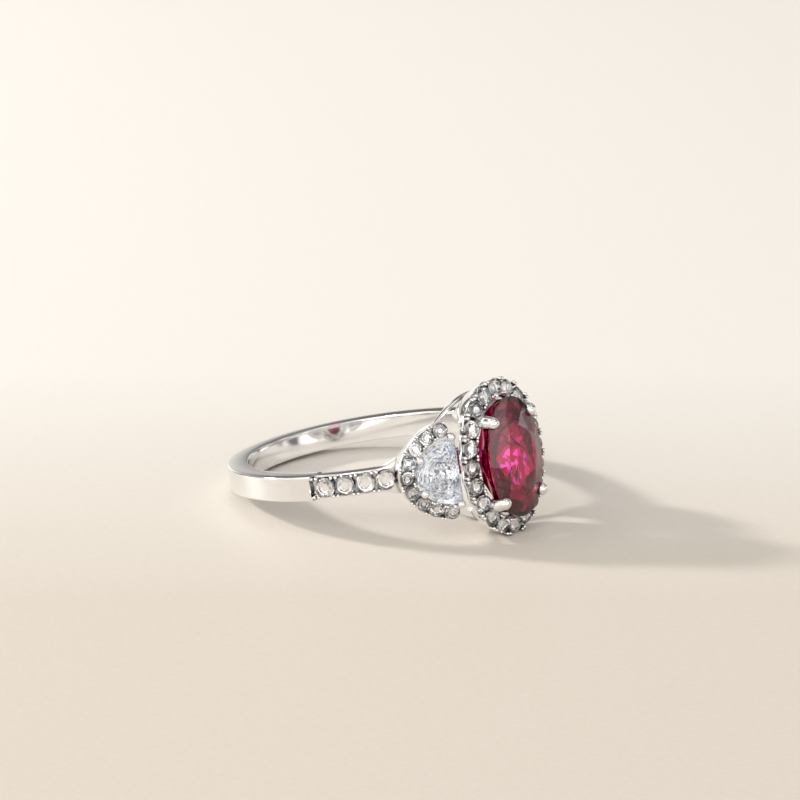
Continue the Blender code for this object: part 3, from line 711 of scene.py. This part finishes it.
MOON_CENTRE = 2.88
RAIL_RADIUS = 9.1
RAIL_WIDTH = 0.26
RAIL_DEPTH = 0.42
CENTRE_RAIL_END = math.radians(20.5)
BASKET_TOP = 11.1
BASKET_FOOT = 9.3
MAIN_LOBE = 4.1
MAIN_LOBE_ANGLE = math.radians(26.0)
SIDE_LOBE = 2.75
SIDE_LOBE_REACH = 3.55
RAIL_BLEND = 14.0


def rail_height(angle):
    """Along the finger, how far out the rail stands: the higher of the lobes under the heads, blended."""
    turned = np.abs(angle)
    main = MAIN_LOBE * np.sqrt(np.clip(1.0 - (angle / MAIN_LOBE_ANGLE) ** 2, 0.0, 1.0))
    along = RAIL_RADIUS * np.sin(SIDE_HEAD - turned)
    side = SIDE_LOBE * np.sqrt(np.clip(1.0 - ((MOON_CENTRE - along) / SIDE_LOBE_REACH) ** 2, 0.0, 1.0))
    return (main**RAIL_BLEND + side**RAIL_BLEND) ** (1.0 / RAIL_BLEND)


def rail_loops(start, end, sign):
    """A rounded oblong bar carried along the rail's curve on a cylinder round the finger."""
    angle = np.linspace(start, end, 90)
    height = rail_height(angle)
    line = np.stack([RAIL_RADIUS * np.cos(angle), RAIL_RADIUS * np.sin(angle), sign * height], axis=-1)
    along = np.gradient(line, axis=0)
    along /= np.linalg.norm(along, axis=1, keepdims=True)
    radial = np.stack([np.cos(angle), np.sin(angle), np.zeros_like(angle)], axis=-1)
    aside = np.cross(along, radial)
    aside /= np.linalg.norm(aside, axis=1, keepdims=True)
    turn = math.tau * np.arange(16) / 16
    a = RAIL_WIDTH / 2 * np.sign(np.cos(turn)) * np.abs(np.cos(turn)) ** 0.6
    b = RAIL_DEPTH / 2 * np.sign(np.sin(turn)) * np.abs(np.sin(turn)) ** 0.6
    across = a[None, :, None] * aside[:, None, :]
    return line[:, None, :] + across + b[None, :, None] * radial[:, None, :]


centre_rails = Shape()
for sign in (-1, 1):
    centre_rails.sweep(rail_loops(-CENTRE_RAIL_END, CENTRE_RAIL_END, sign), closed=False)
turns = np.linspace(-math.pi, math.pi, 181)[:-1]
basket = [(-0.6, BASKET_TOP), (-1.15, BASKET_FOOT), (-1.4, BASKET_FOOT), (-0.82, BASKET_TOP)]
section = np.broadcast_to(np.array(basket), (len(turns), 4, 2))
centre_rails.sweep(carried(CENTRE_HEAD, HALO_WIDE, HALO_LONG, turns, section), closed=True)
centre_rails.piece("ruby_gallery", [GOLD], "white_gold", 40.0, stands_for=["ruby_basket"])

# ------------------------------------------------------------------------------------------------
# The ruby: a crimson oval of about 8 x 5 mm, brilliant cut, deep under its edge and flat on top.

RUBY_WIDE = 2.5
RUBY_LONG = 3.9
RUBY_GIRDLE = 12.22
RUBY_REFRACTION = 1.7
RUBY_TABLE = 0.53
RUBY_CROWN = 0.62
RUBY_EDGE = 0.07
RUBY_ROWS = [(0.985, 0.4), (0.95, 0.85), (0.84, 1.3), (0.62, 1.75), (0.36, 2.15)]
RUBY_DEEP = 2.5
RUBY_SIDES_TO = 0.95
# Painted light on the ruby's steep sides: from dark crimson up to bright red streaks, painted reflections.
PAINTED_SIDE_STREAKS = [
    (0.42, (0.24, 0.0, 0.03, 1.0)),
    (0.60, (0.45, 0.005, 0.06, 1.0)),
    (0.68, (0.85, 0.02, 0.14, 1.0)),
]


def ruby_sides():
    """The steep faces just below the girdle, which show from outside: a mirror painted dark, with painted
    streaks of light down them.
    """
    finish = Finish("ruby_sides")
    inputs = {"Vector": finish.place(), "Scale": (0.5, 3.0, 3.0)}
    streaks = finish.noise(finish.node("ShaderNodeMapping", inputs=inputs), 1.0, 1.0)
    colour = finish.ramp(streaks, PAINTED_SIDE_STREAKS)
    return finish.set(Base_Color=colour, Metallic=1.0, Roughness=0.1 + 0.1 * streaks)


# Partly painted light: the ruby's pavilion cells run from its own deep crimson up to bright magenta, which
# are painted glints; it emits nothing.
RUBY = cut_stone(
    "ruby",
    ((0.80, 0.20, 0.44, 1.0), (0.86, 0.26, 0.54, 1.0)),
    RUBY_REFRACTION,
    [
        (0.0, (0.46, 0.012, 0.10, 1.0)),
        (0.44, (0.52, 0.02, 0.15, 1.0)),
        (0.60, (0.57, 0.03, 0.22, 1.0)),
        (0.73, (0.90, 0.07, 0.42, 1.0)),
        (0.80, (1.0, 0.24, 0.85, 1.0)),
    ],
    sparkle=2.8,
    haze=0.28,
    painted_glow=0.0,
) + [ruby_sides()]

ruby = Shape()
edge, _ = oval(RUBY_WIDE, RUBY_LONG, math.tau * np.arange(96) / 96)
cut = brilliant(edge, 6, RUBY_TABLE, RUBY_CROWN, RUBY_EDGE, RUBY_ROWS, RUBY_DEEP, 0.03)
points, faces, kinds = consistent(cut)
on_side = [points[face][:, 2].min() > -RUBY_SIDES_TO for face in faces]
kinds = [2 if kind and side else kind for kind, side in zip(kinds, on_side)]
points = points + np.array([0.0, 0.0, RUBY_GIRDLE])
ruby.add(points @ CENTRE_HEAD, faces, kinds)
ruby.piece("ruby", RUBY, "ruby", 1.0, stands_for=["ruby"])

# ------------------------------------------------------------------------------------------------
# The ruby's four claws: round wire, upright beside the stone, with its end rounded over the edge.

CLAW = 0.42
CLAW_INSET = 0.47
CLAW_FOOT = 9.3
CLAW_TOP = 12.38
CLAW_LINE = ([CLAW_FOOT, 10.3, 11.4, 12.0, CLAW_TOP], [-0.75, -0.2, -0.03, -0.05, -0.2])
CLAW_RADII = ([CLAW_FOOT, 10.9, 11.6, CLAW_TOP], [0.3, 0.33, CLAW, CLAW])
claw_arc = (2 * HALO_SIDE_PITCH + quarter_length - 2 * HALO_END_PITCH) / 2
claw_turn = float(oval_angle(HALO_WIDE, HALO_LONG, claw_arc))


def claw_loops(turn):
    """Circles along a line just outside the ruby's edge, shrinking round the tip to a dome."""
    spot, out = oval(HALO_WIDE, HALO_LONG, np.array(turn))
    up = np.concatenate([np.linspace(CLAW_FOOT, 11.9, 10), np.linspace(12.0, CLAW_TOP, 5)])
    dome = np.linspace(0.0, math.pi / 2, 8)[1:]
    offset = np.interp(up, *CLAW_LINE)
    radius = np.interp(up, *CLAW_RADII)
    up = np.concatenate([up, CLAW_TOP + CLAW * np.sin(dome)])
    offset = np.concatenate([offset, offset[-1] - 0.08 * (1 - np.cos(dome))])
    radius = np.concatenate([radius, CLAW * np.cos(dome) + 0.004])
    side = np.array([-out[1], out[0]])
    around = math.tau * np.arange(28) / 28
    centre = spot[None, :] + (offset - CLAW_INSET)[:, None] * out[None, :]
    flat = (
        centre[:, None, :]
        + (radius[:, None] * np.cos(around))[..., None] * out
        + (radius[:, None] * np.sin(around))[..., None] * side
    )
    height = np.broadcast_to(up[:, None, None], (*flat.shape[:2], 1))
    return np.concatenate([flat, height], axis=-1) @ CENTRE_HEAD


claw_turns = (claw_turn, math.pi - claw_turn, math.pi + claw_turn, -claw_turn)
for word, turn in zip(("left_upper", "right_upper", "right_lower", "left_lower"), claw_turns):
    claw = Shape()
    claw.sweep(claw_loops(turn), closed=False)
    claw.piece(f"claw_{word}", [GOLD], "white_gold", 50.0, stands_for=[f"ruby_claw_{word}"])

# ------------------------------------------------------------------------------------------------
# The side heads: a half-moon diamond with its flat side to the ruby, held by four small claws inside
# a crescent of nine diamonds, over a rail that comes off the shoulder. The two are alike.

MOON_DEEP = 2.8
MOON_LONG = 2.17
MOON_FLAT = 2.84
MOON_GIRDLE = 10.72
CRESCENT_DEEP = 3.36
CRESCENT_LONG = 2.73
CRESCENT_TOP = 10.5
CRESCENT_STONE = 0.97
CRESCENT_PITCH = 1.0
CRESCENT_LEAN = math.radians(13.0)
CRESCENT_BEAD = (0.11, 0.2)
CRESCENT_REACH = math.radians(84.0)
CRESCENT_RIM = 0.5
CRESCENT_DROP = 0.8
CRESCENT_DIP = 0.5
DIP_REACH = math.radians(38.0)
MOON_CLAW = (0.29, 0.42)
SIDE_RAIL_ENDS = (math.radians(20.0), math.radians(37.2))

# Painted light: the half moons' pavilion cells run from grey through white and a blue glint, painted
# reflections, with a stronger painted emission.
HALF_MOON = cut_stone(
    "half_moon",
    COLOURLESS,
    DIAMOND_REFRACTION,
    [
        (0.0, (0.22, 0.22, 0.23, 1.0)),
        (0.27, (0.62, 0.64, 0.68, 1.0)),
        (0.42, (0.92, 0.93, 0.95, 1.0)),
        (0.60, (0.70, 0.80, 1.0, 1.0)),
        (0.66, (1.0, 1.0, 1.0, 1.0)),
    ],
    sparkle=7.0,
    haze=0.12,
    painted_glow=0.2,
)


def half_moon():
    """A half oval closed by a straight side, cut as a brilliant about a point near its middle."""
    corner = math.acos((MOON_CENTRE - MOON_FLAT) / MOON_DEEP)
    arc = np.linspace(-corner, corner, 57)
    curve = np.column_stack([MOON_CENTRE - MOON_DEEP * np.cos(arc), MOON_LONG * np.sin(arc)])
    flat = np.linspace(curve[-1], curve[0], 25)[1:-1]
    outline = np.concatenate([curve, flat])
    centre = np.array([MOON_FLAT - 0.42 * MOON_DEEP, 0.0])
    cut = brilliant(
        outline - centre,
        4,
        table=0.62,
        crown=0.4,
        girdle=0.05,
        rows=[(0.85, 0.24), (0.68, 0.47), (0.52, 0.7), (0.36, 0.9), (0.2, 1.08)],
        tip_depth=1.25,
        hand_cut=0.05,
    )
    points, faces, kinds = consistent(cut)
    return points + np.array([*centre, MOON_GIRDLE]), faces, kinds


def crescent_spot(arc):
    """The crescent's middle line at a length from its tip: spot and outward direction, on its head."""
    spot, out = oval(CRESCENT_DEEP, CRESCENT_LONG, oval_angle(CRESCENT_DEEP, CRESCENT_LONG, arc))
    mirror = np.array([-1.0, 1.0])
    return spot * mirror + np.array([MOON_CENTRE, 0.0]), out * mirror


def crescent_section(angle):
    """The crescent's profile at each angle: a thin outer wall, deeper where it joins the band."""
    foot = CRESCENT_TOP - CRESCENT_DROP - CRESCENT_DIP * smooth_step(DIP_REACH - np.abs(angle), 0.0, 0.3)
    profile = [
        (CRESCENT_RIM, CRESCENT_TOP - 0.44),
        (CRESCENT_RIM, CRESCENT_TOP - 0.52),
        (CRESCENT_RIM - 0.02, foot),
        (CRESCENT_RIM - 0.3, foot),
        (-0.46, CRESCENT_TOP - 0.7),
        (-0.46, CRESCENT_TOP - 0.24),
        (CRESCENT_RIM - 0.14, CRESCENT_TOP - 0.36),
        (CRESCENT_RIM - 0.04, CRESCENT_TOP - 0.4),
    ]
    level = np.zeros_like(foot)
    return np.stack([np.stack([level + out, level + up], axis=-1) for out, up in profile], axis=1)


for word, head, sign in (("right", RIGHT_HEAD, -1), ("left", LEFT_HEAD, 1)):
    moon = Shape()
    points, faces, kinds = half_moon()
    moon.add(points @ head, faces, kinds)
    moon.piece(f"{word}_half_moon_diamond", HALF_MOON, "diamond", 1.0, stands_for=[f"{word}_half_moon"])
    stones = Shape()
    gold = Shape()
    seats = []
    beads = []
    for arc in np.arange(-4, 5) * CRESCENT_PITCH:
        spot, out = crescent_spot(arc)
        seats.append(stand(head, (*spot, CRESCENT_TOP), out, CRESCENT_LEAN))
    for arc in (np.arange(-4, 4) + 0.5) * CRESCENT_PITCH:
        spot, out = crescent_spot(arc)
        along = np.array([-out[1], out[0]])
        for aside in (-0.1, 0.1):
            near = spot + 0.44 * out + aside * along
            beads.append(stand(head, (*near, CRESCENT_TOP - 0.11), out, CRESCENT_LEAN))
            near = spot - 0.36 * out + 0.8 * aside * along
            beads.append(stand(head, (*near, CRESCENT_TOP + 0.07), out, CRESCENT_LEAN))
    stones.copies(round_diamond(CRESCENT_STONE), seats)
    gold.copies(cup(CRESCENT_STONE, 0.62), seats)
    gold.copies(bead(*CRESCENT_BEAD), beads)
    claws = []
    for side in (-1, 1):
        spot, out = crescent_spot(1.5 * side * CRESCENT_PITCH)
        claws.append(stand(head, (*(spot - 0.52 * out), MOON_GIRDLE), out, 0.0))
        corner = (MOON_FLAT - 0.2, side * (MOON_LONG + 0.02), MOON_GIRDLE)
        claws.append(stand(head, corner, (0.0, side), 0.0))
    gold.copies(bead(*MOON_CLAW), claws)
    names = [f"{word}_halo_diamond_{i}" for i in range(1, 10)]
    stones.piece(f"{word}_crescent_diamonds", DIAMOND, "diamond", 1.0, stands_for=names)
    gold.piece(f"{word}_crescent_settings", [GOLD], "white_gold", 40.0)
    angle = np.linspace(-CRESCENT_REACH, CRESCENT_REACH, 121)
    section = crescent_section(angle)
    loops = carried(head, CRESCENT_DEEP, CRESCENT_LONG, angle, section, flip=True, shift=MOON_CENTRE)
    crescent = Shape()
    crescent.sweep(loops, closed=False)
    crescent.piece(f"{word}_crescent", [GOLD], "white_gold", 35.0, stands_for=[f"{word}_halo"])
    rails = Shape()
    for level in (-1, 1):
        start, end = sorted(sign * end for end in SIDE_RAIL_ENDS)
        rails.sweep(rail_loops(start, end, level), closed=False)
    rails.piece(f"{word}_gallery", [GOLD], "white_gold", 40.0, stands_for=[f"{word}_basket"])

# ------------------------------------------------------------------------------------------------
# The table: pale cream leather, and the light of a bright room, low and warm from the far left.

TABLE_HALF = 2.0
TABLE_AWAY = (-0.66, 0.75, 0.0)

floor_mesh = bpy.data.meshes.new("table")
corners = [(TABLE_HALF * x, TABLE_HALF * y, 0.0) for x, y in ((-1, -1), (1, -1), (1, 1), (-1, 1))]
floor_mesh.from_pydata(corners, [], [(0, 1, 2, 3)])
floor = bpy.data.objects.new("table", floor_mesh)
bpy.context.scene.collection.objects.link(floor)
leather = Finish("cream_table")
grain = leather.noise(leather.place(), 2.2, 4.0)
away = leather.node(
    "ShaderNodeVectorMath",
    output=1,
    settings={"operation": "DOT_PRODUCT"},
    inputs={0: leather.place(), 1: TABLE_AWAY},
)
# Painted light and shade: the table is darker and warmer towards the camera and lighter behind, along
# TABLE_AWAY.
front_painted_shade = leather.mix(grain, (0.70, 0.64, 0.565, 1.0), (0.76, 0.70, 0.625, 1.0))
cream = leather.mix(grain, (0.86, 0.835, 0.80, 1.0), (0.90, 0.875, 0.84, 1.0))
floor_mesh.materials.append(
    leather.set(
        Base_Color=leather.mix(0.022 * away + 0.4, front_painted_shade, cream),
        Roughness=0.6,
        Normal=leather.bump(grain, 4e-5, 0.35),
    )
)

ROOM_PATCHES = [
    (0.37, (0.16, 0.15, 0.145, 1.0)),
    (0.45, (0.80, 0.775, 0.74, 1.0)),
    (0.60, (1.75, 1.71, 1.63, 1.0)),
]
BRIGHT_SIDE = (0.55, -0.62, -0.55)

world = bpy.data.worlds.new("room")
bpy.context.scene.world = world
world.use_nodes = True
room = Nodes(world.node_tree)
direction = room.node("ShaderNodeTexCoord", output="Generated")
patches = room.noise(direction, 3.2, 1.5)
to_front = room.node(
    "ShaderNodeVectorMath",
    output=1,
    settings={"operation": "DOT_PRODUCT"},
    inputs={0: direction, 1: BRIGHT_SIDE},
)
shade = room.ramp(patches + 0.16 * to_front, ROOM_PATCHES)
room.fill(room.tree.nodes["Background"], {"Color": shade, "Strength": 1.0})
bpy.context.scene.view_settings.view_transform = "Standard"


def add_lamp(name, place, size, power, colour):
    """A square soft lamp at a place in metres, facing the ring."""
    light = bpy.data.lights.new(name, "AREA")
    light.size = size
    light.energy = power
    light.color = colour
    lamp = bpy.data.objects.new(name, light)
    bpy.context.scene.collection.objects.link(lamp)
    lamp.location = Vector(place)
    lamp.rotation_euler = (-Vector(place)).to_track_quat("-Z", "Y").to_euler()
    return lamp


add_lamp("window_light", (-0.42, -0.183, 0.237), size=0.05, power=1.8, colour=(1.0, 0.96, 0.90))
add_lamp("fill_light", (0.1, -0.5, 0.45), size=0.12, power=0.5, colour=(1.0, 0.97, 0.94))

# ------------------------------------------------------------------------------------------------
# The camera: a long lens a quarter of a metre away, a little above the table.

AZIMUTH = math.radians(41.32)
ELEVATION = math.radians(19.0)
DISTANCE = 240.9
FOCAL = 164.9
AIM_RIGHT = 1.72
AIM_UP = 3.45

back = np.array(
    [
        math.sin(AZIMUTH) * math.cos(ELEVATION),
        -math.cos(AZIMUTH) * math.cos(ELEVATION),
        math.sin(ELEVATION),
    ]
)
right = np.array([math.cos(AZIMUTH), math.sin(AZIMUTH), 0.0])
up = np.cross(back, right)
camera = bpy.data.objects.new("camera", bpy.data.cameras.new("camera"))
bpy.context.scene.collection.objects.link(camera)
camera.data.lens = FOCAL
camera.data.sensor_width = 36.0
camera.data.clip_start = 0.01
camera.location = Vector(middle + MM * (DISTANCE * back))
aim = Vector(middle + MM * (AIM_RIGHT * right + AIM_UP * up))
camera.rotation_euler = (camera.location - aim).to_track_quat("Z", "Y").to_euler()
bpy.context.scene.camera = camera
